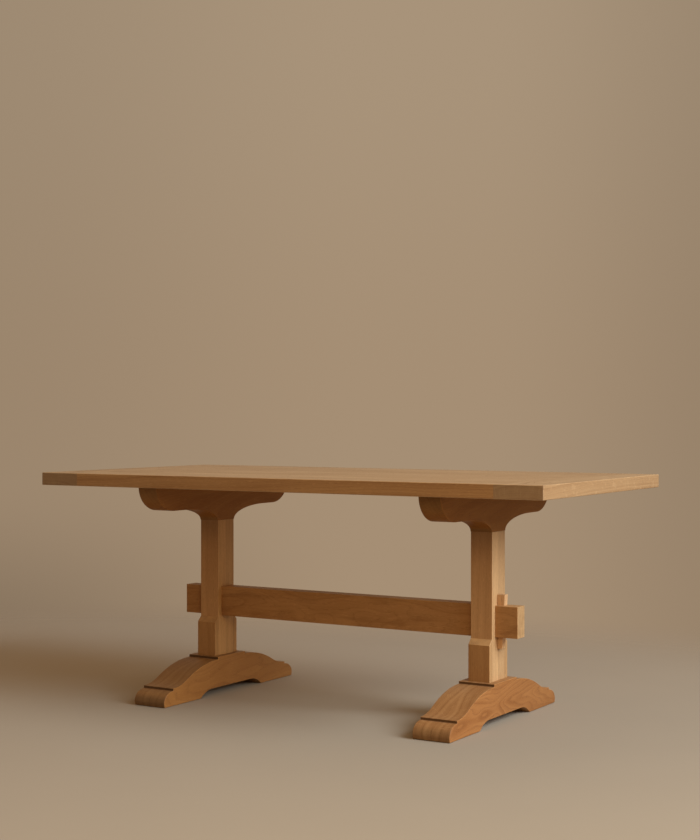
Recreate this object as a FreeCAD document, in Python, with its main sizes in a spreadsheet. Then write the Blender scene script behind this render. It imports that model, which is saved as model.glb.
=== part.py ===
import FreeCAD, Part
import math
import os

import Sketcher

# A solid oak trestle dining table. X runs along the table, Y across it and Z up from the
# floor. The origin is on the floor under the middle of the top. The front is towards -Y.

DRIVING_SIZES = [
    # name, value in mm, what it measures
    ("top_length", 1829, "top, over both breadboard ends"),
    ("top_width", 914, "top, across the boards"),
    ("table_height", 762, "floor to the top's upper face"),
    ("top_thickness", 42, "thickness of boards and breadboard ends"),
    ("board_count", 6, "boards glued edge to edge in the top, no unit"),
    ("top_ease", 2.5, "rounding of the top's outer edges"),
    ("breadboard_width", 153, "breadboard end, along the table"),
    ("tongue_length", 30, "tongue of a board, beyond its shoulder"),
    ("tongue_thickness", 14, "tongue of a board"),
    ("tongue_setback", 40, "from the top's long edge to the tongue"),
    ("tongue_play", 0.2, "gap on each face of the tongue"),
    ("groove_relief", 2, "groove beyond the tongue's tip and ends"),
    ("peg_diameter", 10, "peg through a tongue"),
    ("peg_play", 0.1, "gap around a peg"),
    ("peg_cover", 8, "wood left over a peg hole"),
    ("peg_end_gap", 1, "peg's inner end to the bottom of its hole"),
    ("peg_travel", 3, "free way of a peg along its slot, to each side"),
    ("post_spacing", 1043.5, "between the two posts' centres"),
    ("post_thickness", 74, "post, along the table"),
    ("post_width", 92, "post, across the table"),
    ("post_ease", 1.5, "rounding of a post's corners"),
    ("tenon_thickness", 34, "post's tenons, along the table"),
    ("tenon_width", 64, "post's tenons, across the table"),
    ("foot_tenon_length", 70, "post's tenon into the foot"),
    ("bearer_tenon_length", 74, "post's tenon into the bearer"),
    ("tenon_play", 0.15, "glue gap on each face of a tenon"),
    ("tenon_end_gap", 2, "tenon's end to the bottom of its mortise"),
    ("cheek_thickness", 17.6, "cheek glued on the foot of a post"),
    ("cheek_height", 113.6, "cheek's outer face above the foot"),
    ("cheek_bevel_rise", 18, "height of the bevel on top of a cheek"),
    ("bearer_setback", 69, "from the top's long edge to the bearer's end"),
    ("bearer_thickness", 74, "bearer, along the table"),
    ("arm_depth", 82.5, "bearer's arm below the top"),
    ("hub_depth", 128, "bearer over the post, below the top"),
    ("hub_ledge", 3, "flat of the hub beyond the post's side"),
    ("arm_flat", 60, "flat of an arm between cove and rounded end"),
    ("arm_round", 98, "length of an arm's rounded end"),
    ("bearer_ease", 1.5, "rounding of the bearer's edges"),
    ("foot_length", 757, "foot, across the table"),
    ("foot_width", 124, "foot, along the table"),
    ("foot_height", 127, "foot's platform above its underside"),
    ("platform_length", 160, "foot's platform, across the table"),
    ("platform_step", 8, "step from the platform to the slope"),
    ("slope_turn", 0.7, "share of the slope's straight line above its turn, no unit"),
    ("slope_crown_radius", 375, "crowned part of the slope, above its turn"),
    ("slope_end_height", 57, "lower end of the slope above the underside"),
    ("toe_step", 8, "step from the slope to the toe"),
    ("toe_length", 49, "toe in front of its step"),
    ("toe_nose_height", 13, "toe's foremost point above the underside"),
    ("toe_nose_tuck", 3, "foremost point of the toe beyond its underside"),
    ("arch_height", 24, "hollow under the foot"),
    ("arch_flat", 230, "flat ceiling of the hollow"),
    ("arch_radius", 95, "rounded ends of the hollow"),
    ("foot_ease", 2, "rounding of the foot's edges"),
    ("glide_diameter", 30, "glide under a toe"),
    ("glide_proud", 1, "glide below the foot's underside"),
    ("glide_recess", 4, "depth of a glide's seat"),
    ("glide_play", 0.1, "gap around a glide"),
    ("glide_setback", 60, "glide's centre to the foot's end"),
    ("glide_ease", 0.6, "rounding of a glide's lower edge"),
    ("stretcher_depth", 101, "stretcher, upright"),
    ("stretcher_thickness", 54, "stretcher, across the table"),
    ("stretcher_height", 263, "stretcher's underside above the floor"),
    ("stretcher_shoulder", 1.5, "shoulder on each face of the through tenon"),
    ("stretcher_tail", 77, "through tenon beyond the post's outer face"),
    ("stretcher_ease", 1.5, "rounding of the stretcher's edges"),
    ("through_play", 0.2, "gap around the through tenon in the post"),
    ("key_width", 21.5, "wedge key, across the table"),
    ("key_head_thickness", 27, "wedge key at its head, along the table"),
    ("key_tip_thickness", 18, "wedge key at its tip, along the table"),
    ("key_rise", 34, "key's head above the through tenon"),
    ("key_drop", 37, "key's tip below the through tenon"),
    ("key_ease", 2, "rounding of a key's edges"),
    ("key_play", 0.1, "gap on each working face of a key"),
    ("key_draw", 4, "key's mortise behind the post's outer face"),
    ("bolt_diameter", 8, "bolt that holds a bearer to the top"),
    ("bolt_hole", 11, "oversize hole that lets the top move"),
    ("bolt_head_diameter", 13, "head of the bolt"),
    ("bolt_head_height", 8, "head of the bolt"),
    ("hex_across", 6, "hexagon socket, across its flats"),
    ("hex_depth", 4, "hexagon socket"),
    ("bolt_engagement", 15, "bolt's thread inside its insert"),
    ("bolt_spacing", 74, "between the two bolts of an arm"),
    ("bolt_pair_shift", 5.5, "middle of the two bolts, nearer the post than their board's"),
    ("bolt_web", 32, "wood between the counterbore and the top"),
    ("counterbore", 24, "diameter of the counterbore under an arm"),
    ("washer_diameter", 22, "washer under a bolt's head"),
    ("washer_thickness", 1.6, "washer under a bolt's head"),
    ("insert_diameter", 12.5, "threaded insert in the top"),
    ("insert_length", 18, "threaded insert in the top"),
    ("metal_play", 0.1, "gap between bolt, washer, insert and hole"),
    ("insert_end_gap", 2, "hole beyond the insert"),
]

# How a sketch numbers its own origin and the points of a curve.
ROOT_POINT = (-1, 1)
START, END, CENTRE = 1, 2, 3

HALF_TURN = 180
SAME_PLACE = 0.01  # mm, within which an edge lies in a plane
OVERCUT = 1  # mm, by which a cut runs past the face that it opens
ENDS = {"left": -1, "right": 1}


class Size:
    """A length that keeps the sheet formula it follows beside its value."""

    def __init__(self, value, formula):
        self.value = value
        self.formula = formula

    def combined(self, sign, other, result):
        return Size(result, f"({self.formula} {sign} {as_size(other).formula})")

    def __add__(self, other):
        return self.combined("+", other, self.value + as_size(other).value)

    def __sub__(self, other):
        return self.combined("-", other, self.value - as_size(other).value)

    def __mul__(self, other):
        return self.combined("*", other, self.value * as_size(other).value)

    def __truediv__(self, other):
        return self.combined("/", other, self.value / as_size(other).value)

    def __neg__(self):
        return self * -1

    def __radd__(self, other):
        return as_size(other) + self

    def __rsub__(self, other):
        return as_size(other) - self

    def __rmul__(self, other):
        return as_size(other) * self

    def root(self):
        return Size(math.sqrt(self.value), f"sqrt({self.formula})")


def as_size(number):
    """Plain numbers join formulas as they are."""
    if isinstance(number, Size):
        return number
    return Size(float(number), f"({number})")


class DrivingSizes:
    """The sheet of driving sizes, each read as an attribute of the same name."""

    def __init__(self, document, rows):
        sheet = document.addObject("Spreadsheet::Sheet", "Sizes")
        for row, (name, value, meaning) in enumerate(rows, start=1):
            sheet.set(f"A{row}", name)
            sheet.set(f"B{row}", str(value))
            sheet.set(f"C{row}", meaning)
            sheet.setAlias(f"B{row}", name)
            setattr(self, name, Size(float(value), f"Sizes.{name}"))


doc = FreeCAD.newDocument("TrestleTable")
size = DrivingSizes(doc, DRIVING_SIZES)
doc.recompute()
subparts = []


# ---- helpers ---------------------------------------------------------------------------

def bind(item, field, length):
    """Ties a property to the sheet."""
    item.setExpression(field, length.formula)


def new_body(label, x=0, y=0, z=0, turned=False):
    """An empty body whose own frame is placed in the table's, turned half round Z or not."""
    body = doc.addObject("PartDesign::Body", label)
    body.Label = label
    body.AllowCompound = True
    rotation = FreeCAD.Rotation(FreeCAD.Vector(0, 0, 1), HALF_TURN if turned else 0)
    place = [as_size(x), as_size(y), as_size(z)]
    body.Placement = FreeCAD.Placement(FreeCAD.Vector(*[way.value for way in place]), rotation)
    for axis, way in zip("xyz", place):
        bind(body, f"Placement.Base.{axis}", way)
    subparts.append(body)
    return body


def new_sketch(body, name, role, lift=0):
    """A sketch on one of the body's origin planes, lifted along the plane's normal."""
    sketch = body.newObject("Sketcher::SketchObject", name)
    plane = next(item for item in body.Origin.OriginFeatures if item.Role == role)
    sketch.AttachmentSupport = [(plane, "")]
    sketch.MapMode = "FlatFace"
    height = as_size(lift)
    sketch.AttachmentOffset = FreeCAD.Placement(
        FreeCAD.Vector(0, 0, height.value), FreeCAD.Rotation())
    bind(sketch, "AttachmentOffset.Base.z", height)
    return sketch


def dimension(sketch, kind, *where_and_length):
    """Adds a dimension whose length follows the sheet."""
    where, length = where_and_length[:-1], where_and_length[-1]
    index = sketch.addConstraint(Sketcher.Constraint(kind, *where, length.value))
    bind(sketch, f"Constraints[{index}]", length)


def hold_point(sketch, geometry, point, x, y):
    """Holds a point of the sketch at x, y from the sketch's origin."""
    dimension(sketch, "DistanceX", *ROOT_POINT, geometry, point, x)
    dimension(sketch, "DistanceY", *ROOT_POINT, geometry, point, y)


def flat_vector(x, y):
    return FreeCAD.Vector(x.value, y.value, 0)


def swept_arc(curve, start, end):
    """The part of a circle or ellipse from start to end, and its two ends' point numbers."""
    first = curve.parameter(start)
    last = curve.parameter(end)
    forward = (last - first) % (2 * math.pi) < math.pi
    arc_type = Part.ArcOfEllipse if isinstance(curve, Part.Ellipse) else Part.ArcOfCircle
    if forward:
        return arc_type(curve, first, last), (START, END)
    return arc_type(curve, last, first), (END, START)


class Straight:
    """A straight side of an outline."""

    def draw(self, sketch, start, end):
        return sketch.addGeometry(Part.LineSegment(start, end)), (START, END)

    def hold(self, sketch, geometry):
        """Adds what its two end points leave open, which is nothing here."""

    def mirrored(self):
        return self


class Round(Straight):
    """A circular side of a given radius, curving left or right of its way."""

    def __init__(self, radius, left):
        self.radius = radius
        self.left = left

    def draw(self, sketch, start, end):
        chord = end - start
        across = FreeCAD.Vector(-chord.y, chord.x, 0).normalize()
        reach = math.sqrt(self.radius.value ** 2 - chord.Length ** 2 / 4)
        centre = (start + end) * 0.5 + across * (reach if self.left else -reach)
        circle = Part.Circle(centre, FreeCAD.Vector(0, 0, 1), self.radius.value)
        arc, ends = swept_arc(circle, start, end)
        return sketch.addGeometry(arc), ends

    def hold(self, sketch, geometry):
        dimension(sketch, "Radius", geometry, self.radius)


class QuarterEllipse(Straight):
    """A quarter of an upright ellipse about a given centre."""

    def __init__(self, x, y):
        self.x = as_size(x)
        self.y = as_size(y)

    def draw(self, sketch, start, end):
        centre = flat_vector(self.x, self.y)
        spokes = sorted((start - centre, end - centre), key=lambda spoke: spoke.Length)
        minor_radius, major = spokes[0].Length, spokes[1]
        minor = FreeCAD.Vector(-major.y, major.x, 0).normalize() * minor_radius
        ellipse = Part.Ellipse(centre + major, centre + minor, centre)
        self.level = abs(major.y) < abs(major.x)
        arc, ends = swept_arc(ellipse, start, end)
        return sketch.addGeometry(arc), ends

    def hold(self, sketch, geometry):
        major_axis = sketch.GeometryCount
        sketch.exposeInternalGeometry(geometry)
        hold_point(sketch, geometry, CENTRE, self.x, self.y)
        direction = "Horizontal" if self.level else "Vertical"
        sketch.addConstraint(Sketcher.Constraint(direction, major_axis))

    def mirrored(self):
        return QuarterEllipse(-self.x, self.y)


def draw_outline(sketch, corners):
    """Draws a closed outline. A corner is x, y and, where the side after it curves, its curve."""
    points = [(as_size(corner[0]), as_size(corner[1])) for corner in corners]
    sides = [corner[2] if len(corner) > 2 else Straight() for corner in corners]
    drawn = []
    for number, side in enumerate(sides):
        start = flat_vector(*points[number])
        end = flat_vector(*points[(number + 1) % len(points)])
        drawn.append(side.draw(sketch, start, end))
    for number, (geometry, (first, _)) in enumerate(drawn):
        before, (_, last) = drawn[number - 1]
        sketch.addConstraint(Sketcher.Constraint("Coincident", before, last, geometry, first))
        hold_point(sketch, geometry, first, *points[number])
    for (geometry, _), side in zip(drawn, sides):
        side.hold(sketch, geometry)


def both_halves(right_half):
    """Adds the mirror image of the right half of an outline, which ends at its top."""
    sides = [corner[2] if len(corner) > 2 else Straight() for corner in right_half]
    left_half = [(-as_size(corner[0]), corner[1], side.mirrored())
                 for corner, side in zip(reversed(right_half), reversed([Straight()] + sides[:-1]))]
    return right_half + left_half


def draw_rectangle(sketch, low_x, high_x, low_y, high_y):
    draw_outline(sketch, [(low_x, low_y), (high_x, low_y), (high_x, high_y), (low_x, high_y)])


def draw_circles(sketch, centres, diameter):
    for x, y in centres:
        middle = (as_size(x), as_size(y))
        circle = Part.Circle(flat_vector(*middle), FreeCAD.Vector(0, 0, 1), diameter.value / 2)
        geometry = sketch.addGeometry(circle)
        hold_point(sketch, geometry, CENTRE, *middle)
        dimension(sketch, "Diameter", geometry, diameter)


def draw_hexagons(sketch, centres, across_flats):
    half_flat = across_flats / 2
    corner_reach = across_flats / math.sqrt(3)
    for x, y in centres:
        draw_outline(sketch, [
            (x + corner_reach, y), (x + corner_reach / 2, y + half_flat),
            (x - corner_reach / 2, y + half_flat), (x - corner_reach, y),
            (x - corner_reach / 2, y - half_flat), (x + corner_reach / 2, y - half_flat)])


def add_pad(body, name, sketch, length, both_ways=False, backwards=False):
    """Grows the sketch along its normal, against it, or half each way."""
    pad = body.newObject("PartDesign::Pad", name)
    pad.Profile = sketch
    pad.SideType = "Symmetric" if both_ways else "One side"
    pad.Reversed = backwards
    bind(pad, "Length", length)
    doc.recompute()
    return pad


def add_pocket(body, name, sketch, depth=None, both_ways=False, along_normal=False):
    """Cuts the sketch into the body, right through it where no depth is given."""
    volume_before = body.Shape.Volume
    pocket = body.newObject("PartDesign::Pocket", name)
    pocket.Profile = sketch
    pocket.SideType = "Symmetric" if both_ways else "One side"
    pocket.Reversed = along_normal
    if depth is None:
        pocket.Type = "ThroughAll"
    else:
        bind(pocket, "Length", depth)
    doc.recompute()
    if body.Shape.Volume >= volume_before:
        raise RuntimeError(f"{body.Label}: {name} cut nothing")
    return pocket


def lies_on(edge, axis, length):
    """True for an edge that lies wholly in the plane where the axis has this value."""
    box = edge.BoundBox
    low, high = getattr(box, f"{axis}Min"), getattr(box, f"{axis}Max")
    return max(abs(low - length.value), abs(high - length.value)) < SAME_PLACE


def ease_edges(body, name, radius, chosen):
    """Rounds the edges that chosen picks from the body as it is now."""
    base = body.Tip
    edges = [f"Edge{number}" for number, edge in enumerate(base.Shape.Edges, start=1)
             if chosen(edge)]
    fillet = body.newObject("PartDesign::Fillet", name)
    fillet.Base = (base, edges)
    bind(fillet, "Radius", radius)
    doc.recompute()
    if not fillet.Shape.isValid():
        raise RuntimeError(f"{body.Label}: {name} is unsound")


# ---- places shared by several pieces ---------------------------------------------------

top_underside = size.table_height - size.top_thickness
panel_half = size.top_length / 2 - size.breadboard_width
board_width = size.top_width / size.board_count
platform_height = size.foot_height + size.glide_proud
post_length = top_underside - size.hub_depth - platform_height
post_centre = size.post_spacing / 2
post_outer_face = post_centre + size.post_thickness / 2
tongue_low = (size.top_thickness - size.tongue_thickness) / 2
tongue_high = tongue_low + size.tongue_thickness
peg_place = panel_half + size.tongue_length / 2
key_tip_height = size.stretcher_height + size.stretcher_shoulder - size.key_drop
through_tenon_depth = size.stretcher_depth - 2 * size.stretcher_shoulder
key_length = through_tenon_depth + size.key_rise + size.key_drop

board_total = int(size.board_count.value)
board_centres = [board_width * (number - (board_total - 1) / 2) for number in range(board_total)]

bearer_tip = size.top_width / 2 - size.bearer_setback
arm_round_start = bearer_tip - size.arm_round
cove_end = arm_round_start - size.arm_flat

# Each arm of a bearer has two bolts into the board next to the outermost one. The bolt nearer
# the post stands where the cove is still almost level and hides its counterbore.
bolt_pair_middle = board_centres[-2] - size.bolt_pair_shift
inner_bolt = bolt_pair_middle - size.bolt_spacing / 2
outer_bolt = bolt_pair_middle + size.bolt_spacing / 2
bolt_lines = [place * way for way in (-1, 1) for place in (inner_bolt, outer_bolt)]
bolt_plan = [(post_centre * end, line) for end in ENDS.values() for line in bolt_lines]
washer_underside = top_underside - size.bolt_web - size.washer_thickness


def draw_post_tenon(sketch, play):
    """The section of the post's tenons, widened by the play where it is a mortise."""
    half_thickness = size.tenon_thickness / 2 + play
    half_width = size.tenon_width / 2 + play
    draw_rectangle(sketch, -half_thickness, half_thickness, -half_width, half_width)


# ---- top -------------------------------------------------------------------------------

def build_board(number, centre):
    """One board of the top, with a tongue at each end."""
    board = new_body(f"top_board_{number + 1}", 0, centre, top_underside)
    tip = panel_half + size.tongue_length
    section = new_sketch(board, "Section", "XZ_Plane")
    draw_outline(section, [
        (-panel_half, 0), (panel_half, 0), (panel_half, tongue_low), (tip, tongue_low),
        (tip, tongue_high), (panel_half, tongue_high), (panel_half, size.top_thickness),
        (-panel_half, size.top_thickness), (-panel_half, tongue_high), (-tip, tongue_high),
        (-tip, tongue_low), (-panel_half, tongue_low)])
    add_pad(board, "Board", section, board_width, both_ways=True)

    outer = {0: -1, board_total - 1: 1}.get(number)
    if outer is not None:
        long_edge = board_width / 2 * outer
        setback = (board_width / 2 - size.tongue_setback) * outer
        notches = new_sketch(board, "TongueEnds", "XY_Plane")
        for end in ENDS.values():
            draw_rectangle(notches, panel_half * end, tip * end, setback, long_edge)
        add_pocket(board, "CutBackTongue", notches, along_normal=True)
        ease_edges(board, "EasedLongEdges", size.top_ease,
                   lambda edge: lies_on(edge, "Y", long_edge)
                   and (lies_on(edge, "Z", as_size(0)) or lies_on(edge, "Z", size.top_thickness)))

    slots = new_sketch(board, "PegSlots", "XY_Plane", tongue_low)
    peg_half = size.peg_diameter / 2 + size.peg_play
    for end in ENDS.values():
        draw_rectangle(slots, peg_place * end - peg_half, peg_place * end + peg_half,
                       -peg_half - size.peg_travel, peg_half + size.peg_travel)
    add_pocket(board, "CutPegSlots", slots, along_normal=True)

    insert_hole = size.insert_diameter + 2 * size.metal_play
    hole_reach = (board_width + insert_hole) / 2
    drilled = [line - centre for line in bolt_lines
               if abs(line.value - centre.value) < hole_reach.value]
    if drilled:
        holes = new_sketch(board, "InsertHoles", "XY_Plane")
        draw_circles(holes, [(post_centre * end, line) for end in ENDS.values()
                             for line in drilled], insert_hole)
        add_pocket(board, "DrillInsertHoles", holes, size.insert_length + size.insert_end_gap,
                   along_normal=True)


def build_breadboard(end_name):
    """A breadboard end, grooved for the tongues. Its own origin is at its shoulder."""
    end = ENDS[end_name]
    breadboard = new_body(f"breadboard_{end_name}", panel_half * end, 0, top_underside,
                          turned=end < 0)
    half_width = size.top_width / 2
    plan = new_sketch(breadboard, "Plan", "XY_Plane")
    draw_rectangle(plan, 0, size.breadboard_width, -half_width, half_width)
    add_pad(breadboard, "Board", plan, size.top_thickness)
    ease_edges(breadboard, "EasedEdges", size.top_ease,
               lambda edge: not lies_on(edge, "X", as_size(0)))

    mouth = new_sketch(breadboard, "GrooveMouth", "YZ_Plane")
    groove_half = half_width - size.tongue_setback + size.groove_relief
    draw_rectangle(mouth, -groove_half, groove_half,
                   tongue_low - size.tongue_play, tongue_high + size.tongue_play)
    add_pocket(breadboard, "Groove", mouth, size.tongue_length + size.groove_relief,
               along_normal=True)

    holes = new_sketch(breadboard, "PegHoles", "XY_Plane")
    draw_circles(holes, [(size.tongue_length / 2, centre) for centre in board_centres],
                 size.peg_diameter + 2 * size.peg_play)
    add_pocket(breadboard, "DrillPegHoles", holes, size.top_thickness - size.peg_cover,
               along_normal=True)


def build_pegs():
    """The pegs that hold the breadboard ends, driven in from below."""
    pegs = new_body("breadboard_pegs", 0, 0, top_underside)
    ends = new_sketch(pegs, "PegEnds", "XY_Plane")
    draw_circles(ends, [(peg_place * end, centre)
                        for end in ENDS.values() for centre in board_centres],
                 size.peg_diameter)
    add_pad(pegs, "Pegs", ends, size.top_thickness - size.peg_cover - size.peg_end_gap)


# ---- bearers and what holds the top to them --------------------------------------------

def build_bearer(end_name):
    """The bearer under the top: two arms that spring from a deeper hub over the post."""
    bearer = new_body(f"bearer_{end_name}", post_centre * ENDS[end_name], 0, top_underside)
    hub_half = size.post_width / 2 + size.hub_ledge
    elevation = new_sketch(bearer, "Elevation", "YZ_Plane")
    draw_outline(elevation, both_halves([
        (hub_half, -size.hub_depth, QuarterEllipse(cove_end, -size.hub_depth)),
        (cove_end, -size.arm_depth),
        (arm_round_start, -size.arm_depth, QuarterEllipse(arm_round_start, 0)),
        (bearer_tip, 0)]))
    add_pad(bearer, "Bearer", elevation, size.bearer_thickness, both_ways=True)
    side = size.bearer_thickness / 2
    ease_edges(bearer, "EasedEdges", size.bearer_ease,
               lambda edge: lies_on(edge, "Z", -size.hub_depth)
               or ((lies_on(edge, "X", side) or lies_on(edge, "X", -side))
                   and not lies_on(edge, "Z", as_size(0))))

    mortise_depth = size.bearer_tenon_length + size.tenon_end_gap
    mortise = new_sketch(bearer, "MortiseCeiling", "XY_Plane", mortise_depth - size.hub_depth)
    draw_post_tenon(mortise, size.tenon_play)
    add_pocket(bearer, "PostMortise", mortise)

    bolt_places = [(0, line) for line in bolt_lines]
    bores = new_sketch(bearer, "Counterbores", "XY_Plane", -size.bolt_web)
    draw_circles(bores, bolt_places, size.counterbore)
    add_pocket(bearer, "CutCounterbores", bores)
    holes = new_sketch(bearer, "BoltHoles", "XY_Plane")
    draw_circles(holes, bolt_places, size.bolt_hole)
    add_pocket(bearer, "DrillBoltHoles", holes, size.bolt_web + OVERCUT)


def build_bolts():
    """The bolts from the bearers into the top, heads down in their counterbores."""
    bolts = new_body("bearer_bolts", 0, 0, washer_underside)
    heads = new_sketch(bolts, "Heads", "XY_Plane")
    draw_circles(heads, bolt_plan, size.bolt_head_diameter)
    add_pad(bolts, "BoltHeads", heads, size.bolt_head_height, backwards=True)
    shanks = new_sketch(bolts, "Shanks", "XY_Plane")
    draw_circles(shanks, bolt_plan, size.bolt_diameter)
    add_pad(bolts, "BoltShanks", shanks,
            size.washer_thickness + size.bolt_web + size.bolt_engagement)
    sockets = new_sketch(bolts, "Sockets", "XY_Plane", size.hex_depth - size.bolt_head_height)
    draw_hexagons(sockets, bolt_plan, size.hex_across)
    add_pocket(bolts, "HexSockets", sockets)


def build_ring_group(label, height, outer_diameter, length):
    """One ring round each bolt, standing on the given height."""
    rings = new_body(label, 0, 0, height)
    plan = new_sketch(rings, "Plan", "XY_Plane")
    draw_circles(plan, bolt_plan, outer_diameter)
    draw_circles(plan, bolt_plan, size.bolt_diameter + 2 * size.metal_play)
    add_pad(rings, "Rings", plan, length)


# ---- posts -----------------------------------------------------------------------------

def build_post_ply(end_name, face_name):
    """One of the two thick plies of a post. Its own origin is on the foot, in the glue line."""
    ply = new_body(f"post_{end_name}_{face_name}", post_centre * ENDS[end_name], 0,
                   platform_height, turned=face_name == "front")
    half_thickness = size.post_thickness / 2
    ply_width = size.post_width / 2
    plan = new_sketch(ply, "Plan", "XY_Plane")
    draw_rectangle(plan, -half_thickness, half_thickness, 0, ply_width)
    add_pad(ply, "Ply", plan, post_length)
    ease_edges(ply, "EasedCorners", size.post_ease,
               lambda edge: lies_on(edge, "Y", ply_width)
               and (lies_on(edge, "X", half_thickness) or lies_on(edge, "X", -half_thickness)))

    tenon_half = size.tenon_thickness / 2
    for name, height, length, downwards in (
            ("FootTenon", as_size(0), size.foot_tenon_length, True),
            ("BearerTenon", post_length, size.bearer_tenon_length, False)):
        section = new_sketch(ply, f"{name}Section", "XY_Plane", height)
        draw_rectangle(section, -tenon_half, tenon_half, 0, size.tenon_width / 2)
        add_pad(ply, name, section, length, backwards=downwards)

    mouth = new_sketch(ply, "ThroughMortiseMouth", "YZ_Plane")
    half_opening = size.stretcher_thickness / 2 - size.stretcher_shoulder + size.through_play
    sill = size.stretcher_height - platform_height + size.stretcher_shoulder - size.through_play
    draw_rectangle(mouth, 0, half_opening, sill,
                   sill + through_tenon_depth + 2 * size.through_play)
    add_pocket(ply, "ThroughMortise", mouth, both_ways=True)


def build_cheek(end_name, face_name):
    """A cheek that widens the foot of the post, bevelled back to it at the top."""
    cheek = new_body(f"cheek_{end_name}_{face_name}", post_centre * ENDS[end_name], 0,
                     platform_height, turned=face_name == "front")
    inner = size.post_width / 2
    outer = inner + size.cheek_thickness
    profile = new_sketch(cheek, "Profile", "YZ_Plane")
    draw_outline(profile, [(inner, 0), (outer, 0), (outer, size.cheek_height),
                           (inner, size.cheek_height + size.cheek_bevel_rise)])
    add_pad(cheek, "Cheek", profile, size.post_thickness, both_ways=True)
    ease_edges(cheek, "EasedEdges", size.post_ease,
               lambda edge: not lies_on(edge, "Y", inner) and not lies_on(edge, "Z", as_size(0)))


# ---- feet ------------------------------------------------------------------------------

foot_heel = size.platform_length / 2
foot_nose = size.foot_length / 2
glide_place = foot_nose - size.glide_setback
toe_start = foot_nose - size.toe_length
slope_top = size.foot_height - size.platform_step
arch_corner = size.arch_flat / 2
arch_run = (size.arch_height * (2 * size.arch_radius - size.arch_height)).root()
sharp_places = [
    (arch_corner + arch_run, as_size(0)),
    (foot_nose - size.toe_nose_tuck, as_size(0)),
    (toe_start, size.slope_end_height - size.toe_step),
    (toe_start, size.slope_end_height),
    (foot_heel, slope_top),
    (foot_heel, size.foot_height)]


def foot_outline():
    """The foot seen from the table's end, above its underside."""
    arch_end, sole_front, toe_top, slope_end, step_bottom, step_top = sharp_places
    turn_y = foot_heel + (toe_start - foot_heel) * size.slope_turn
    turn_z = slope_top - (slope_top - size.slope_end_height) * size.slope_turn
    slope_foot_radius = size.slope_crown_radius * (1 - size.slope_turn) / size.slope_turn
    return both_halves([
        (arch_corner, size.arch_height, Round(size.arch_radius, left=False)),
        arch_end,
        sole_front,
        (foot_nose, size.toe_nose_height, QuarterEllipse(toe_start, size.toe_nose_height)),
        toe_top,
        (*slope_end, Round(slope_foot_radius, left=False)),
        (turn_y, turn_z, Round(size.slope_crown_radius, left=True)),
        step_bottom,
        step_top])


def is_sharp_corner(edge):
    """True for an edge that runs along the table at a sharp corner of the foot's outline."""
    return any(lies_on(edge, "Z", z) and (lies_on(edge, "Y", y) or lies_on(edge, "Y", -y))
               for y, z in sharp_places)


def build_foot_half(end_name, side_name):
    """Half of a foot, glued to its twin in the post's middle plane, where its origin is."""
    outwards = {"inner": -1, "outer": 1}[side_name] * ENDS[end_name]
    foot = new_body(f"foot_{end_name}_{side_name}", post_centre * ENDS[end_name], 0,
                    size.glide_proud, turned=outwards < 0)
    side = size.foot_width / 2
    elevation = new_sketch(foot, "Elevation", "YZ_Plane")
    draw_outline(elevation, foot_outline())
    add_pad(foot, "FootHalf", elevation, side)
    ease_edges(foot, "EasedEdges", size.foot_ease,
               lambda edge: lies_on(edge, "X", side) or is_sharp_corner(edge))

    mortise_floor = size.foot_height - size.foot_tenon_length - size.tenon_end_gap
    mortise = new_sketch(foot, "MortiseFloor", "XY_Plane", mortise_floor)
    draw_post_tenon(mortise, size.tenon_play)
    add_pocket(foot, "PostMortise", mortise, along_normal=True)

    seats = new_sketch(foot, "GlideSeats", "XY_Plane")
    draw_circles(seats, [(0, -glide_place), (0, glide_place)],
                 size.glide_diameter + 2 * size.glide_play)
    add_pocket(foot, "CutGlideSeats", seats, size.glide_recess, along_normal=True)


def build_glides():
    """The four glides that the table stands on."""
    glides = new_body("foot_glides")
    plan = new_sketch(glides, "Plan", "XY_Plane")
    draw_circles(plan, [(post_centre * end, glide_place * way)
                        for end in ENDS.values() for way in (-1, 1)], size.glide_diameter)
    add_pad(glides, "Glides", plan, size.glide_proud + size.glide_recess)
    ease_edges(glides, "EasedEdges", size.glide_ease, lambda edge: lies_on(edge, "Z", as_size(0)))


# ---- stretcher and its wedge keys ------------------------------------------------------

def build_stretcher():
    """The stretcher, whose through tenons pass the posts and are mortised for the keys."""
    stretcher = new_body("stretcher", 0, 0, size.stretcher_height)
    shoulder_place = post_centre - size.post_thickness / 2
    half_thickness = size.stretcher_thickness / 2
    section = new_sketch(stretcher, "Section", "YZ_Plane")
    draw_rectangle(section, -half_thickness, half_thickness, 0, size.stretcher_depth)
    add_pad(stretcher, "Beam", section, 2 * shoulder_place, both_ways=True)
    ease_edges(stretcher, "EasedBeam", size.stretcher_ease,
               lambda edge: not lies_on(edge, "X", shoulder_place)
               and not lies_on(edge, "X", -shoulder_place))

    tail_end = post_outer_face + size.stretcher_tail
    tenon_half = half_thickness - size.stretcher_shoulder
    tenon_section = new_sketch(stretcher, "TenonSection", "YZ_Plane")
    draw_rectangle(tenon_section, -tenon_half, tenon_half, size.stretcher_shoulder,
                   size.stretcher_depth - size.stretcher_shoulder)
    add_pad(stretcher, "Tenons", tenon_section, 2 * tail_end, both_ways=True)
    ease_edges(stretcher, "EasedTenons", size.stretcher_ease,
               lambda edge: abs(edge.CenterOfMass.x) > shoulder_place.value + SAME_PLACE)

    mortises = new_sketch(stretcher, "KeyMortiseSides", "XZ_Plane")
    low = size.stretcher_shoulder - OVERCUT
    high = size.stretcher_depth - size.stretcher_shoulder + OVERCUT
    for end in ENDS.values():
        inner_wall = (post_outer_face - size.key_draw) * end
        draw_outline(mortises, [(inner_wall, low), (key_mortise_wall(low) * end, low),
                                (key_mortise_wall(high) * end, high), (inner_wall, high)])
    add_pocket(stretcher, "KeyMortises", mortises, size.key_width + 2 * size.key_play,
               both_ways=True)


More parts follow.
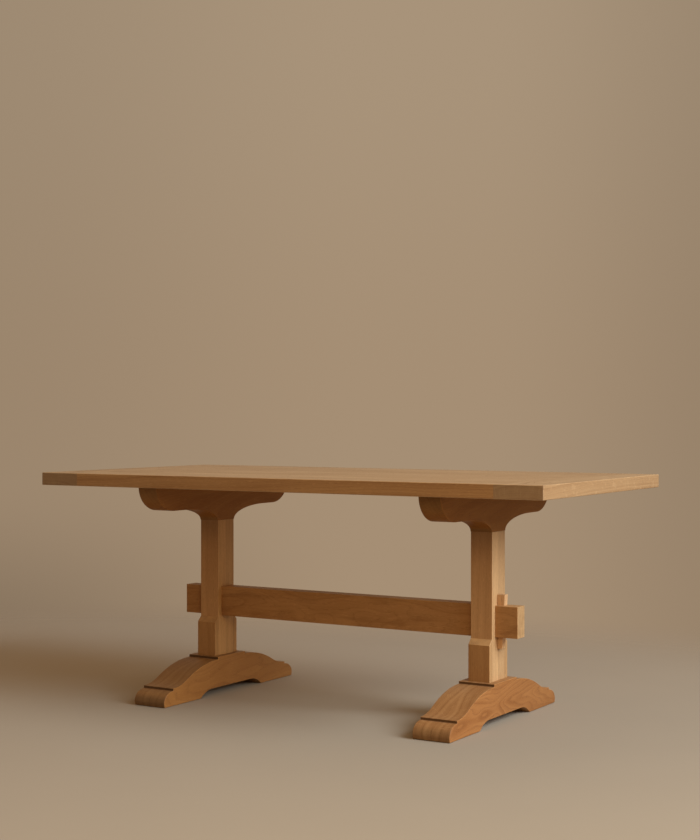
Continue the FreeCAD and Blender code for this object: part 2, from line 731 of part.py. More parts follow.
def key_mortise_wall(height):
    """Where the mortise's sloping outer wall is, at a height above the stretcher's underside."""
    above_tip = height - size.stretcher_shoulder + size.key_drop
    widening = (size.key_head_thickness - size.key_tip_thickness) / key_length
    return post_outer_face + 2 * size.key_play + size.key_tip_thickness + widening * above_tip


def build_key(end_name):
    """A wedge key, straight against the post and sloping against the mortise's outer wall."""
    end = ENDS[end_name]
    key = new_body(f"key_{end_name}", post_outer_face * end, 0, key_tip_height, turned=end < 0)
    sides = new_sketch(key, "Sides", "XZ_Plane")
    draw_outline(sides, [(size.key_play, 0), (size.key_play + size.key_tip_thickness, 0),
                         (size.key_play + size.key_head_thickness, key_length),
                         (size.key_play, key_length)])
    add_pad(key, "Key", sides, size.key_width, both_ways=True)
    ease_edges(key, "EasedEdges", size.key_ease, lambda edge: True)


# ---- the whole table -------------------------------------------------------------------

def build_table():
    for number, centre in enumerate(board_centres):
        build_board(number, centre)
    build_pegs()
    build_bolts()
    build_ring_group("bolt_washers", washer_underside, size.washer_diameter,
                     size.washer_thickness)
    build_ring_group("top_inserts", top_underside, size.insert_diameter, size.insert_length)
    for end_name in ENDS:
        build_breadboard(end_name)
        build_bearer(end_name)
        for face_name in ("front", "back"):
            build_post_ply(end_name, face_name)
            build_cheek(end_name, face_name)
        for side_name in ("inner", "outer"):
            build_foot_half(end_name, side_name)
        build_key(end_name)
    build_glides()
    build_stretcher()
    doc.recompute()


def check_document():
    """Stops where an object failed or a piece has no sound shape."""
    for item in doc.Objects:
        if {"Invalid", "Error"} & set(item.State):
            raise RuntimeError(f"{item.Label}: {item.State}")
    for piece in subparts:
        if piece.Shape.isNull() or not piece.Shape.isValid():
            raise RuntimeError(f"{piece.Label}: no sound shape")


def write_pieces():
    os.makedirs("parts", exist_ok=True)
    for piece in subparts:
        piece.Shape.exportStep(f"parts/{piece.Label}.step")
        box = piece.Shape.BoundBox
        print(f"{piece.Label}: {len(piece.Shape.Solids)} solids, {piece.Shape.Volume:.0f} mm3, "
              f"x {box.XMin:.1f}..{box.XMax:.1f}, y {box.YMin:.1f}..{box.YMax:.1f}, "
              f"z {box.ZMin:.1f}..{box.ZMax:.1f}")


build_table()
check_document()
write_pieces()
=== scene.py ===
import math

import bpy
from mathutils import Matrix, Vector

# An oak trestle table on a plain pale floor. Metres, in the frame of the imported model:
# X along the table, Y across it with the front towards -Y, and Z up from the floor.

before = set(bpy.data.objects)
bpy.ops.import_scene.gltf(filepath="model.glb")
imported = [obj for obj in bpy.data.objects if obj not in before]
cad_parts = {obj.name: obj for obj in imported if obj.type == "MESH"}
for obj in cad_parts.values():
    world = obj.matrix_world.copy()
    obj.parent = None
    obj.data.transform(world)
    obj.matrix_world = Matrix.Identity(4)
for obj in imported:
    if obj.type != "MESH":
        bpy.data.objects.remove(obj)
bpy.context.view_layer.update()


def srgb(red, green, blue):
    """A colour as it looks on screen, 0 to 255, as Blender's linear numbers."""
    shown = [value / 255 for value in (red, green, blue)]
    return tuple(v / 12.92 if v <= 0.04045 else ((v + 0.055) / 1.055) ** 2.4
                 for v in shown) + (1.0,)


# ---- node trees ------------------------------------------------------------------------

class Graph:
    """A node tree, built with one short call for each node."""

    def __init__(self, tree):
        self.tree = tree

    def feed(self, socket, value):
        """Links a socket, or sets the number or colour of one that stays the same."""
        if isinstance(value, bpy.types.NodeSocket):
            self.tree.links.new(value, socket)
        else:
            socket.default_value = value

    def add(self, kind, inputs=(), **settings):
        node = self.tree.nodes.new(kind)
        for name, value in settings.items():
            setattr(node, name, value)
        for name, value in dict(inputs).items():
            self.feed(node.inputs[name], value)
        return node

    def math(self, operation, *values):
        node = self.add("ShaderNodeMath", operation=operation)
        for socket, value in zip(node.inputs, values):
            self.feed(socket, value)
        return node.outputs[0]

    def vector(self, operation, *values):
        node = self.add("ShaderNodeVectorMath", operation=operation)
        for socket, value in zip(node.inputs, values):
            self.feed(socket, value)
        return node.outputs["Value" if operation in ("DOT_PRODUCT", "LENGTH") else "Vector"]

    def combine(self, x, y, z):
        return self.add("ShaderNodeCombineXYZ", {"X": x, "Y": y, "Z": z}).outputs[0]

    def separate(self, vector):
        return self.add("ShaderNodeSeparateXYZ", {"Vector": vector}).outputs

    def noise(self, vector, detail=2.0, roughness=0.5, scale=1.0):
        return self.add("ShaderNodeTexNoise", {
            "Vector": vector, "Scale": scale, "Detail": detail, "Roughness": roughness})

    def smooth(self, value, low, high, out_low=0.0, out_high=1.0):
        """Goes from out_low to out_high while the value goes from low to high."""
        return self.add("ShaderNodeMapRange", {
            "Value": value, "From Min": low, "From Max": high, "To Min": out_low,
            "To Max": out_high}, interpolation_type="SMOOTHSTEP").outputs["Result"]

    def mix(self, factor, first, second, blend="MIX"):
        node = self.add("ShaderNodeMix", data_type="RGBA", blend_type=blend)
        for index, value in ((0, factor), (6, first), (7, second)):
            self.feed(node.inputs[index], value)
        return node.outputs[2]


def new_material(name):
    """An empty material and its graph."""
    material = bpy.data.materials.new(name)
    material.use_nodes = True
    material.node_tree.nodes.clear()
    return material, Graph(material.node_tree)


def finish_material(graph, shader):
    graph.add("ShaderNodeOutputMaterial", {"Surface": shader})


# ---- oak -------------------------------------------------------------------------------

RINGS_PER_METRE = 330.0
RING_SPREAD = 6.0
EARLY_WOOD = 0.45

# How fine each kind of mark is: noise cells in a metre along the grain, then across it.
WANDER_CELLS = (1.3, 0, 0)
WARP_CELLS = (3.2, 12, 12)
CURL_CELLS = (5, 13, 13)
FIBRE_CELLS = (7, 300, 300)
STREAK_CELLS = (1.6, 42, 42)
PORE_CELLS = (75, 1500, 1500)
CLOUD_CELLS = (3, 9, 9)
PATCH_CELLS = (5, 34, 34)
PALE_ZONE_CELLS = (7, 16, 16)

# How far, in metres, the pith wanders, the rings warp and the swirl curls them.
WANDER_REACH = (0, 0.055, 0.055)
WARP_REACH = (0, 0.016, 0.016)
CURL_REACH = 0.05

# How much each kind of mark darkens the wood, and what is taken off the sum.
FIBRE_SHARE, STREAK_SHARE, CLOUD_SHARE = 0.22, 0.34, 0.5
EARLY_SHARE, RING_SHARE = 0.20, 0.16
TONE_BASE = 0.22

PORE_COLOR = srgb(96, 62, 34)
END_GRAIN_COLOR = srgb(98, 80, 58)
# Dark colour for real glue lines and for painted shade in corners, on risers and under parts.
JOINT_AND_SHADE_COLOR = srgb(70, 42, 20)
MINERAL_TINT = (0.60, 0.50, 0.40, 1.0)
RUBBED_TINT = (1.12, 1.10, 1.06, 1.0)


def make_oak_group():
    """Solid oak. Position is in metres, X along the grain and the pith at Y = Z = 0, so that
    every face of a piece cuts the same rings, pores and rays as in real timber."""
    tree = bpy.data.node_groups.new("SolidOak", "ShaderNodeTree")
    for name, kind in (("Position", "Vector"), ("EndGrain", "Float"), ("Wear", "Float"),
                       ("JointsAndShade", "Float"), ("Light", "Color"), ("Dark", "Color"),
                       ("Figure", "Float"), ("Flecks", "Float"), ("Rings", "Float"),
                       ("Swirl", "Float"), ("Lines", "Float"), ("Blotches", "Float")):
        tree.interface.new_socket(name, in_out="INPUT", socket_type=f"NodeSocket{kind}")
    for name, kind in (("Color", "Color"), ("Roughness", "Float"), ("Height", "Float")):
        tree.interface.new_socket(name, in_out="OUTPUT", socket_type=f"NodeSocket{kind}")
    g = Graph(tree)
    given = g.add("NodeGroupInput").outputs
    position = given["Position"]

    def grain_noise(cells, detail, output="Fac", roughness=0.5):
        stretched = g.vector("MULTIPLY", position, cells)
        return g.noise(stretched, detail=detail, roughness=roughness).outputs[output]

    # The pith wanders along the trunk, and the rings are a little uneven round it.
    half = (0.5, 0.5, 0.5)
    curl_reach = g.math("MULTIPLY", given["Swirl"], CURL_REACH)
    moved = position
    for cells, detail, reach in (
            (WANDER_CELLS, 1.0, WANDER_REACH), (WARP_CELLS, 2.0, WARP_REACH),
            (CURL_CELLS, 1.0, g.combine(0.0, curl_reach, curl_reach))):
        shift = g.vector("SUBTRACT", grain_noise(cells, detail, "Color"), half)
        moved = g.vector("ADD", moved, g.vector("MULTIPLY", shift, reach))
    along, across, depth = g.separate(moved)
    radius = g.math("POWER", g.math("ADD", g.math("MULTIPLY", across, across),
                                    g.math("MULTIPLY", depth, depth)), 0.5)
    uneven = g.noise(g.combine(g.math("MULTIPLY", radius, 26.0), 0.0, 0.0)).outputs["Fac"]
    phase = g.math("ADD", g.math("MULTIPLY", radius, RINGS_PER_METRE),
                   g.math("MULTIPLY", uneven, RING_SPREAD))
    in_ring = g.math("FRACT", phase)
    early = g.smooth(in_ring, EARLY_WOOD, 0.0)
    ring_tone = g.add("ShaderNodeTexWhiteNoise", {"W": g.math("FLOOR", phase)},
                      noise_dimensions="1D").outputs["Value"]
    bands = g.noise(g.combine(g.math("MULTIPLY", phase, 0.26), 0.0, 0.0),
                    detail=3.0, roughness=0.6).outputs["Fac"]
    bands = g.smooth(bands, 0.3, 0.7)

    # Fibres and pores run along the grain, and the pores lie in the early wood.
    fibres = grain_noise(FIBRE_CELLS, 3.0)
    streaks = grain_noise(STREAK_CELLS, 3.0)
    pores = g.math("MULTIPLY", g.smooth(grain_noise(PORE_CELLS, 1.0), 0.56, 0.66),
                   g.math("ADD", g.math("MULTIPLY", early, 0.85), 0.15))

    # Rays are thin sheets that stand on the pith: flecks on a quartered face, short dashes on
    # a flat-sawn one and fine spokes on the end grain.
    turn = g.math("ARCTAN2", across, depth)
    ray_field = g.noise(g.combine(g.math("MULTIPLY", turn, 75.0),
                                  g.math("MULTIPLY", radius, 26.0),
                                  g.math("MULTIPLY", along, 48.0)), detail=1.0).outputs["Fac"]
    rays = g.math("MULTIPLY", g.smooth(ray_field, 0.61, 0.68), given["Flecks"])

    # Tone drifts in soft clouds, and some boards have darker mineral patches and pale
    # lines where a ring surfaces.
    clouds = grain_noise(CLOUD_CELLS, 3.0)
    patches = grain_noise(PATCH_CELLS, 4.0, roughness=0.55)
    blotches = g.math("MULTIPLY", g.smooth(patches, 0.48, 0.74), given["Blotches"])
    pale = g.math("MULTIPLY", g.smooth(in_ring, EARLY_WOOD, 0.86), g.smooth(in_ring, 1.0, 0.86))
    pale = g.math("MULTIPLY", pale, g.math("MULTIPLY", given["Lines"], g.smooth(
        grain_noise(PALE_ZONE_CELLS, 1.0), 0.40, 0.56)))

    depth_of_tone = g.math("MULTIPLY", bands, given["Figure"])
    rings = g.math("MULTIPLY", given["Rings"], g.math(
        "ADD", g.math("MULTIPLY", early, EARLY_SHARE),
        g.math("MULTIPLY", ring_tone, RING_SHARE)))
    depth_of_tone = g.math("ADD", depth_of_tone, rings)
    for marks, share in ((fibres, FIBRE_SHARE), (streaks, STREAK_SHARE), (clouds, CLOUD_SHARE)):
        depth_of_tone = g.math("ADD", depth_of_tone, g.math("MULTIPLY", marks, share))
    depth_of_tone = g.math("SUBTRACT", depth_of_tone, TONE_BASE)
    depth_of_tone = g.math("MINIMUM", g.math("MAXIMUM", depth_of_tone, 0.0), 1.0)
    color = g.mix(depth_of_tone, given["Light"], given["Dark"])
    color = g.mix(g.math("MULTIPLY", rays, 0.38), color, given["Light"])
    color = g.mix(g.math("MULTIPLY", blotches, 0.55), color,
                  g.mix(1.0, given["Dark"], MINERAL_TINT, "MULTIPLY"))
    color = g.mix(g.math("MULTIPLY", pale, 0.7), color, given["Light"])
    color = g.mix(g.math("MULTIPLY", pores, 0.55), color, PORE_COLOR)
    color = g.mix(g.math("MULTIPLY", given["EndGrain"], 0.4), color,
                  g.mix(0.5, color, END_GRAIN_COLOR))

    # Edges that hands and cloths have rubbed are paler and smoother. The joints-and-shade mask
    # darkens real glue lines and also paints shade in corners, on risers and under parts.
    rubbed = g.math("MULTIPLY", given["Wear"], g.smooth(
        g.noise(position, detail=3.0, scale=22.0).outputs["Fac"], 0.36, 0.64))
    color = g.mix(g.math("MULTIPLY", rubbed, 0.6), color,
                  g.mix(1.0, given["Light"], RUBBED_TINT, "MULTIPLY"))
    color = g.mix(g.math("MULTIPLY", given["JointsAndShade"], 0.72), color, JOINT_AND_SHADE_COLOR)
    roughness = g.math("ADD", g.math("MULTIPLY", depth_of_tone, 0.10),
                       g.math("ADD", g.math("MULTIPLY", pores, 0.2), 0.42))
    g.add("NodeGroupOutput", {
        "Color": color,
        "Roughness": g.math("SUBTRACT", roughness, g.math("MULTIPLY", rubbed, 0.08)),
        "Height": g.math("SUBTRACT", g.math("MULTIPLY", fibres, 0.25),
                         g.math("ADD", pores, g.math("MULTIPLY", early, 0.2)))})
    return tree


oak_group = make_oak_group()


def turned_to(g, facing, axis, low, high):
    """Goes from zero to one while a surface turns to face along an axis."""
    return g.smooth(g.math("ABSOLUTE", facing[axis]), low, high)


def rounded_edges(g, facing, axis):
    """One where a surface turns from the given axis to another, on an eased edge, and zero on
    the flats. With no axis, on every eased edge of a squared piece."""
    squares = {name: g.math("MULTIPLY", facing[name], facing[name]) for name in "xyz"}
    if axis:
        away = g.math("SUBTRACT", 1.0, squares[axis])
        return g.smooth(g.math("MULTIPLY", squares[axis], away), 0.02, 0.20)
    longest = g.math("MAXIMUM", g.math("MAXIMUM", squares["x"], squares["y"]), squares["z"])
    return g.smooth(longest, 0.97, 0.60)


def oak(name, grain, pith, light, dark, figure=0.45, flecks=1.0, rings=1.0, swirl=0.0,
        lines=0.0, blotches=0.0, lean=(0.0, 0.0), start=0.0, edge_axis=None, joints_and_shade=None,
        sheen=0.35, calm=None, face_tones_and_shading=None):
    """Oak for one piece. Grain names the piece's axes along the grain, across it and into its
    depth; pith is where the tree's middle lies on the last two; lean is how far it drifts.
    Joints and shade, where given, is a function that makes the mask of real glue lines and of
    painted shade in corners and under parts. Calm is the distances along the grain between which
    swirl and lines die out, and the face tints give the tint on the faces across an axis: partly
    the wood's own tone, partly painted light and shade by how each face turns to the light."""
    material, g = new_material(name)
    coordinates = g.add("ShaderNodeTexCoord").outputs
    own = dict(zip("xyz", g.separate(coordinates["Object"])))
    facing = dict(zip("xyz", g.separate(coordinates["Normal"])))
    along, across, depth = (own[axis] for axis in grain)
    position = g.combine(
        g.math("ADD", along, start),
        g.math("SUBTRACT", g.math("SUBTRACT", across, pith[0]),
               g.math("MULTIPLY", along, lean[0])),
        g.math("SUBTRACT", g.math("SUBTRACT", depth, pith[1]),
               g.math("MULTIPLY", along, lean[1])))
    if calm:
        lively = g.smooth(g.math("ABSOLUTE", along), calm[1], calm[0])
        swirl = g.math("MULTIPLY", lively, swirl)
        lines = g.math("MULTIPLY", lively, lines)
    # Face tints: partly the wood's own tone, partly painted light and shade by how faces turn.
    for axis, tint in (face_tones_and_shading or {}).items():
        turned = turned_to(g, facing, axis, 0.5, 0.95)
        light, dark = (g.mix(turned, tone, g.mix(1.0, tone, (*tint, 1.0), "MULTIPLY"))
                       for tone in (light, dark))
    wood = g.add("ShaderNodeGroup", node_tree=oak_group)
    for socket, value in (("Position", position),
                          ("EndGrain", g.math("POWER", g.math("ABSOLUTE", facing[grain[0]]), 3.0)),
                          ("Wear", rounded_edges(g, facing, edge_axis)),
                          ("JointsAndShade", joints_and_shade(g, own, facing) if joints_and_shade else 0.0),
                          ("Light", light), ("Dark", dark), ("Figure", figure),
                          ("Flecks", flecks), ("Rings", rings), ("Swirl", swirl),
                          ("Lines", lines), ("Blotches", blotches)):
        g.feed(wood.inputs[socket], value)
    bump = g.add("ShaderNodeBump", {"Strength": 0.25, "Distance": 0.0004,
                                    "Height": wood.outputs["Height"]})
    shader = g.add("ShaderNodeBsdfPrincipled", {
        "Base Color": wood.outputs["Color"], "Roughness": wood.outputs["Roughness"],
        "Specular IOR Level": sheen, "Normal": bump.outputs["Normal"]})
    finish_material(g, shader.outputs[0])
    return material


def dress(node, material):
    """Gives a node of the model one material."""
    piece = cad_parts[node]
    piece.data.materials.clear()
    piece.data.materials.append(material)


LIGHT_OAK = srgb(206, 164, 118)
DARK_OAK = srgb(160, 116, 74)

# Places on the table: a board's width and the height of its middle, a post from the table's
# middle, the line between post and cheek, and a foot's two low steps with their bottom and top.
BOARD_COUNT, BOARD_WIDTH, BOARD_HEIGHT = 6, 0.1523, 0.741
POST_PLACE = 0.52175
CHEEK_LINE = 0.046
STEPS = (0.080, 0.3295)
RISER_BOTTOM, RISER_TOP = 0.040, 0.047

# A glue line's dark core and where it ends, from its middle.
LINE_CORE, LINE_EDGE = 0.0005, 0.0016

# Where painted shade darkens a post under its hub, and a foot's flank from front to back.
HUB_SHADE_START, HUB_SHADE_END, HUB_SHADE = 0.48, 0.60, 0.45
FLANK_FRONT, FLANK_BACK, FLANK_SHADE = -0.40, 0.40, 0.28


def tinted(factors):
    """The pair of oak tones, light and dark, under a tint of the finish."""
    return [tuple(v * f for v, f in zip(tone, factors)) + (1.0,)
            for tone in (LIGHT_OAK, DARK_OAK)]


def glue_line(axis, place, across):
    """Makes the mask of the thin line where two plies meet, on the faces across the given
    axis."""
    def mask(g, own, facing):
        gap = g.math("ABSOLUTE", g.math("SUBTRACT", own[axis], place))
        return g.math("MULTIPLY", g.smooth(gap, LINE_EDGE, LINE_CORE),
                      turned_to(g, facing, across, 0.6, 0.9))
    return mask


def post_seam_and_shade(g, own, facing):
    """Makes the mask of a post's glue line and of the painted shade under the hub."""
    seam = g.math("MULTIPLY", glue_line("y", 0.0, "x")(g, own, facing), 0.35)
    under_hub = g.math("MULTIPLY", g.smooth(own["z"], HUB_SHADE_START, HUB_SHADE_END,
                                            0.0, HUB_SHADE),
                       turned_to(g, facing, "y", 0.5, 0.9))
    return g.math("MAXIMUM", seam, under_hub)


def foot_seam_and_shade(centre):
    """Makes the mask of a foot's glue line along its middle, and of painted shade on its low
    risers, at the corners of its steps and on its flanks, which grow darker towards the back."""
    def mask(g, own, facing):
        upright = turned_to(g, facing, "y", 0.80, 0.97)
        riser = g.math("MULTIPLY", upright, g.smooth(own["z"], RISER_BOTTOM, RISER_TOP))
        distance = g.math("ABSOLUTE", own["y"])
        for step in STEPS:
            beyond = g.math("SUBTRACT", distance, step)
            corner = g.math("MULTIPLY", g.smooth(beyond, 0.0045, 0.001),
                            g.smooth(beyond, -0.0005, 0.0))
            corner = g.math("MULTIPLY", corner, turned_to(g, facing, "x", 0.6, 0.3))
            riser = g.math("MAXIMUM", riser, corner)
        seam = glue_line("x", centre, "y")(g, own, facing)
        flank = g.math("MULTIPLY", turned_to(g, facing, "x", 0.6, 0.95),
                       g.smooth(own["y"], FLANK_FRONT, FLANK_BACK, 0.0, FLANK_SHADE))
        return g.math("MAXIMUM", g.math("MAXIMUM", riser, flank), g.math("MULTIPLY", seam, 0.5))
    return mask


TOP_TONES = tinted((0.99, 1.06, 1.05))
# The bearers' very dark tints are painted shade under the top, and the left trestle's darker sides
# are painted shade too.
BEARER_TONES_AND_SHADE = {"left": (0.66, 0.47, 0.25), "right": (0.56, 0.38, 0.17)}
SIDE_TONES_AND_SHADE = {"left": (0.93, 0.82, 0.58), "right": (1.0, 0.99, 0.96)}
FOOT_FIGURE = {
    "left": {"figure": 0.40, "rings": 0.5, "swirl": 0.25, "lines": 0.15},
    "right": {"figure": 0.55, "rings": 0.8, "swirl": 0.36, "lines": 0.45}}
# Foot face tints: partly the wood's own tone, partly painted shade, strongest on the left foot.
FOOT_TONES_AND_SHADE = {
    "left": {"x": (0.95, 0.83, 0.56), "y": (0.57, 0.59, 0.58), "z": (0.78, 0.79, 0.72)},
    "right": {"x": (1.0, 0.84, 0.65), "y": (0.84, 0.86, 0.85)}}
# The face tints given below are partly the wood's own tone and partly painted light and shade.
for number in range(1, BOARD_COUNT + 1):
    middle = (number - (BOARD_COUNT + 1) / 2) * BOARD_WIDTH
    flip = 1 if number % 2 else -1
    dress(f"top_board_{number}", oak(
        f"oak_board_{number}", "xyz", (middle + 0.03 * flip, BOARD_HEIGHT + 0.09 * flip),
        *TOP_TONES, rings=0.8, lean=(0.012 * flip, 0.02), start=5.3 * number, sheen=0.5,
        face_tones_and_shading={"y": (0.81, 0.66, 0.48)}))
for end, sign in (("left", -1), ("right", 1)):
    centre = sign * POST_PLACE
    dress(f"breadboard_{end}", oak(
        f"oak_breadboard_{end}", "yxz", (sign * 0.86, 0.47), *TOP_TONES, rings=0.7,
        lean=(0.02, 0.015), start=40 + sign, sheen=0.5,
        face_tones_and_shading={"x": (0.85, 0.77, 0.69), "y": (0.71, 0.66, 0.62)}))
    dress(f"bearer_{end}", oak(
        f"oak_bearer_{end}", "yzx", (0.62, centre - 0.16), *tinted(BEARER_TONES_AND_SHADE[end]),
        figure=0.3, rings=0.3, blotches=0.3, lean=(0.01, 0.03), start=50 + sign, edge_axis="x",
        sheen=0.10, face_tones_and_shading={"y": (0.95, 1.09, 1.36)}))
    for face, way in (("front", -1), ("back", 1)):
        pale = 1.04 if way < 0 else 0.93
        dress(f"post_{end}_{face}", oak(
            f"oak_post_{end}_{face}", "zxy", (centre + 0.11 * way, 0.12 * way),
            *tinted((1.09 * pale, 1.08 * pale, 0.99 * pale)), figure=0.24, rings=0.4,
            start=60 + 3 * sign + way, joints_and_shade=post_seam_and_shade,
            face_tones_and_shading={"x": SIDE_TONES_AND_SHADE[end], "y": (0.86, 0.76, 0.64)}))
        dress(f"cheek_{end}_{face}", oak(
            f"oak_cheek_{end}_{face}", "zxy", (centre - 0.08, 0.14 * way),
            *tinted((1.0, 0.96, 0.82)), figure=0.24, rings=0.4, start=70 + 3 * sign + way,
            joints_and_shade=glue_line("y", CHEEK_LINE * way, "x"),
            face_tones_and_shading={"x": SIDE_TONES_AND_SHADE[end], "y": (0.80, 0.69, 0.53)}))
    for side, way in (("inner", -sign), ("outer", sign)):
        dress(f"foot_{end}_{side}", oak(
            f"oak_foot_{end}_{side}", "yzx", (0.055, centre - way * 0.08),
            *tinted((0.82, 0.68, 0.50)), **FOOT_FIGURE[end],
            lean=(0.03, 0.03 * way), start=80 + 3 * sign + way, edge_axis="x",
            joints_and_shade=foot_seam_and_shade(centre), calm=(0.16, 0.34), face_tones_and_shading=FOOT_TONES_AND_SHADE[end],
            sheen=0.22))
    dress(f"key_{end}", oak(
        f"oak_key_{end}", "zxy", (sign * 0.57, 0.06), *tinted((1.25, 1.22, 1.14)),
        figure=0.3, rings=0.6, start=90 + sign))
dress("stretcher", oak("oak_stretcher", "xzy", (0.30, 0.19), *tinted((0.97, 0.88, 0.68)),
                       figure=0.4, rings=0.45, swirl=0.4, blotches=0.7, lean=(0.02, 0.02),
                       start=99.0, sheen=0.22,
                       face_tones_and_shading={"x": (1.15, 1.24, 1.38), "y": (0.87, 0.77, 0.65)}))
dress("breadboard_pegs", oak("oak_pegs", "zxy", (0.0, 0.05), *tinted((1.0, 1.0, 1.0)),
                             start=103.0))


# ---- metal and plastic -----------------------------------------------------------------

def worn_metal(name, color, roughness):
    """Machined metal with faint turning marks and a slightly uneven finish."""
    material, g = new_material(name)
    position = g.add("ShaderNodeTexCoord").outputs["Object"]
    cloud = g.noise(position, detail=3.0, scale=180.0).outputs["Fac"]
    marks = g.noise(g.vector("MULTIPLY", position, (60, 60, 2600)), detail=1.0).outputs["Fac"]
    bump = g.add("ShaderNodeBump", {"Strength": 0.2, "Distance": 0.0001, "Height": marks})
    shader = g.add("ShaderNodeBsdfPrincipled", {
        "Base Color": g.mix(g.math("MULTIPLY", cloud, 0.4), color, srgb(120, 118, 112)),
        "Roughness": g.smooth(cloud, 0.3, 0.7, roughness - 0.06, roughness + 0.08),
        "Metallic": 1.0, "Normal": bump.outputs["Normal"]})
    finish_material(g, shader.outputs[0])
    return material


def moulded_plastic(name, color):
    """Plastic with a fine moulded grain and scuffs."""
    material, g = new_material(name)
    position = g.add("ShaderNodeTexCoord").outputs["Object"]
    grain = g.noise(position, detail=3.0, scale=2400.0).outputs["Fac"]
    scuffs = g.noise(position, detail=4.0, scale=150.0).outputs["Fac"]
    bump = g.add("ShaderNodeBump", {"Strength": 0.3, "Distance": 0.0001, "Height": grain})
    shader = g.add("ShaderNodeBsdfPrincipled", {
        "Base Color": g.mix(g.smooth(scuffs, 0.45, 0.7, 0.0, 0.5), color, srgb(128, 108, 86)),
        "Roughness": g.smooth(scuffs, 0.3, 0.7, 0.5, 0.7),
        "Normal": bump.outputs["Normal"]})
    finish_material(g, shader.outputs[0])
    return material


zinc = worn_metal("zinc_plated_steel", srgb(186, 186, 182), 0.34)
dress("bearer_bolts", zinc)
dress("bolt_washers", zinc)
dress("top_inserts", worn_metal("insert_brass", srgb(205, 172, 104), 0.32))
dress("foot_glides", moulded_plastic("glide_nylon", srgb(82, 66, 50)))


# ---- floor and background --------------------------------------------------------------

FLOOR_COLOR = srgb(173, 157, 133)
# The floor marks are the paper's own; the darkening towards +X and +Y is painted shade.
FLOOR_MARK_AND_SHADE_COLOR = srgb(120, 106, 86)
PAPER_MARKS, PAINTED_FALLOFF_RIGHT, PAINTED_FALLOFF_BACK = 0.06, 0.16, 0.12
LEFT_SHADE, LEFT_SHADE_LOW, RIGHT_SHADE = 0.13, 0.38, 0.18
HORIZON_COLOR = srgb(165, 142, 116)
UPPER_COLOR = srgb(168, 147, 122)
FADE_START, FADE_END = 1.75, 3.1
FADE_SHAPE, FADE_SHIFT = (0.75, 1.0, 1.0), (0.0, 0.6, 0.0)
FLOOR_DROP = 0.0003
ROOM_COLOR = tuple(v * f for v, f in zip(HORIZON_COLOR, (1.04, 0.95, 0.86))) + (1.0,)
ROOM_LOW, ROOM_HIGH = 0.92, 1.34
WINDOW_COLOR = (0.82, 0.96, 1.16)
WINDOW_GLOW = 0.8
WINDOWWARDS = Vector((math.cos(math.radians(20)), 0.0, math.sin(math.radians(20))))
LEFTWARDS = (-0.856, -0.517, 0.0)
DARK_SIDE = (0.6, -0.8, 0.0)


def make_floor():
    """A flat pale floor that fades into the background all round the table, with painted shade
    that darkens it towards +X and +Y.
    """
    half = FADE_END / FADE_SHAPE[0] + 0.2
    mesh = bpy.data.meshes.new("floor")
    mesh.from_pydata([(-half, -half, 0), (half, -half, 0), (half, half, 0), (-half, half, 0)],
                     [], [(0, 1, 2, 3)])
    floor = bpy.data.objects.new("floor", mesh)
    floor.location.z = -FLOOR_DROP
    bpy.context.scene.collection.objects.link(floor)
    material, g = new_material("floor_paper")
    position = g.add("ShaderNodeTexCoord").outputs["Object"]
    distance = g.vector("LENGTH", g.vector(
        "MULTIPLY", g.vector("ADD", position, FADE_SHIFT), FADE_SHAPE))
    marks_and_falloff = g.noise(position, detail=4.0, scale=3.0).outputs["Fac"]
    along, across, _ = g.separate(position)
    # Paper marks, plus painted shade that darkens the floor towards +X and towards +Y.
    marks_and_falloff = g.math("ADD", g.math("MULTIPLY", marks_and_falloff, PAPER_MARKS), g.math(
        "ADD", g.smooth(along, -0.4, 1.4, 0.0, PAINTED_FALLOFF_RIGHT),
        g.smooth(across, -0.3, 2.0, 0.0, PAINTED_FALLOFF_BACK)))
    solid = g.add("ShaderNodeBsdfPrincipled", {
        "Base Color": g.mix(marks_and_falloff, FLOOR_COLOR, FLOOR_MARK_AND_SHADE_COLOR),
        "Roughness": 0.85, "Specular IOR Level": 0.2})
    clear = g.add("ShaderNodeBsdfTransparent")
    fade = g.add("ShaderNodeMixShader")
    g.feed(fade.inputs[0], g.smooth(distance, FADE_START, FADE_END))
    g.feed(fade.inputs[1], solid.outputs[0])
    g.feed(fade.inputs[2], clear.outputs[0])
    finish_material(g, fade.outputs[0])
    mesh.materials.append(material)


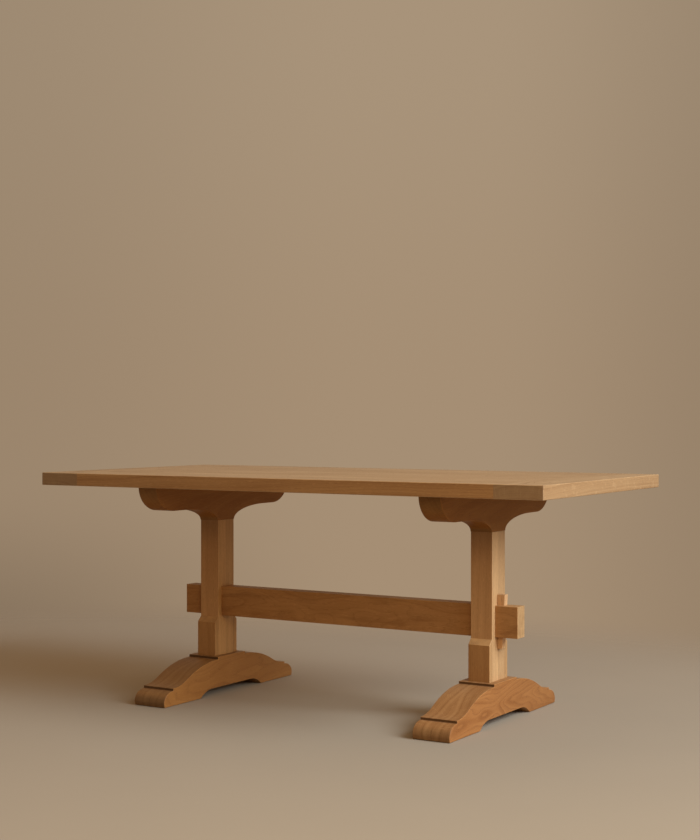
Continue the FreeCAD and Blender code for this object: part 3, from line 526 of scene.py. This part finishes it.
def make_world():
    """A plain warm background that darkens softly to both sides, and the room's warm light,
    which comes mostly from above."""
    world = bpy.data.worlds.new("studio")
    bpy.context.scene.world = world
    world.use_nodes = True
    world.node_tree.nodes.clear()
    g = Graph(world.node_tree)
    direction = g.add("ShaderNodeTexCoord").outputs["Generated"]
    height = g.separate(direction)[2]
    sideways = g.vector("DOT_PRODUCT", direction, LEFTWARDS)
    left_shade = g.smooth(height, -0.04, -0.15, LEFT_SHADE, LEFT_SHADE_LOW)
    shade = g.math("ADD", g.math("MULTIPLY", g.smooth(sideways, -0.02, 0.24), left_shade),
                   g.smooth(sideways, -0.08, -0.26, 0.0, RIGHT_SHADE))
    shown = g.mix(g.smooth(height, 0.0, 0.25), HORIZON_COLOR, UPPER_COLOR)
    rays = g.add("ShaderNodeLightPath").outputs
    seen = g.math("MAXIMUM", rays["Is Camera Ray"], g.math(
        "MAXIMUM", rays["Is Glossy Ray"], rays["Is Transmission Ray"]))
    background = g.add("ShaderNodeBackground", {
        "Color": shown, "Strength": g.math("MULTIPLY", seen, g.math("SUBTRACT", 1.0, shade))})
    darkwards = g.vector("DOT_PRODUCT", direction, DARK_SIDE)
    ambient = g.vector("SCALE", ROOM_COLOR[:3])
    g.feed(ambient.node.inputs["Scale"], g.math(
        "MULTIPLY", g.smooth(height, 0.0, 1.0, ROOM_LOW, ROOM_HIGH),
        g.smooth(darkwards, -0.2, 0.7, 1.0, 0.3)))
    glow = g.vector("SCALE", WINDOW_COLOR)
    g.feed(glow.node.inputs["Scale"], g.smooth(
        g.vector("DOT_PRODUCT", direction, WINDOWWARDS), 0.6, 1.0, 0.0, WINDOW_GLOW))
    room = g.add("ShaderNodeBackground", {
        "Color": g.vector("ADD", ambient, glow), "Strength": g.math("SUBTRACT", 1.0, seen)})
    both = g.add("ShaderNodeAddShader")
    g.feed(both.inputs[0], background.outputs[0])
    g.feed(both.inputs[1], room.outputs[0])
    g.add("ShaderNodeOutputWorld", {"Surface": both.outputs[0]})


make_floor()
make_world()


# ---- light and camera ------------------------------------------------------------------

CAMERA_PLACE = Vector((2.68244, -4.41579, 0.96293))
CAMERA_YAW = math.radians(31.116)
CAMERA_PITCH = math.radians(-0.2756)
CAMERA_LENS = 67.03
TABLE_MIDDLE = Vector((0.0, 0.0, 0.4))


def make_camera():
    camera = bpy.data.cameras.new("camera")
    camera.lens = CAMERA_LENS
    camera.sensor_width = 36.0
    camera.clip_end = 60.0
    holder = bpy.data.objects.new("camera", camera)
    bpy.context.scene.collection.objects.link(holder)
    holder.location = CAMERA_PLACE
    holder.rotation_euler = (math.pi / 2 + CAMERA_PITCH, 0.0, CAMERA_YAW)
    bpy.context.scene.camera = holder


def make_softbox(name, azimuth, elevation, distance, diameter, brightness, color):
    """A round diffuser in a compass direction from the table's middle, counted from +X
    towards +Y. Brightness is what reaches the table, in watts on a square metre."""
    lamp = bpy.data.lights.new(name, "AREA")
    lamp.shape = "DISK"
    lamp.size = diameter
    lamp.energy = brightness * math.pi * (distance ** 2 + (diameter / 2) ** 2)
    lamp.color = color
    holder = bpy.data.objects.new(name, lamp)
    bpy.context.scene.collection.objects.link(holder)
    holder.visible_camera = False
    turn, rise = math.radians(azimuth), math.radians(elevation)
    towards = Vector((math.cos(rise) * math.cos(turn), math.cos(rise) * math.sin(turn),
                      math.sin(rise)))
    holder.location = TABLE_MIDDLE + towards * distance
    holder.rotation_mode = "QUATERNION"
    holder.rotation_quaternion = towards.to_track_quat("Z", "Y")


make_camera()
make_softbox("window", azimuth=-3.0, elevation=30.0, distance=8.5, diameter=4.6,
             brightness=2.9, color=WINDOW_COLOR)
make_softbox("front_fill", azimuth=-50.0, elevation=25.0, distance=3.5, diameter=1.6,
             brightness=0.58, color=(1.0, 0.82, 0.54))

view = bpy.context.scene.view_settings
view.view_transform = "Standard"
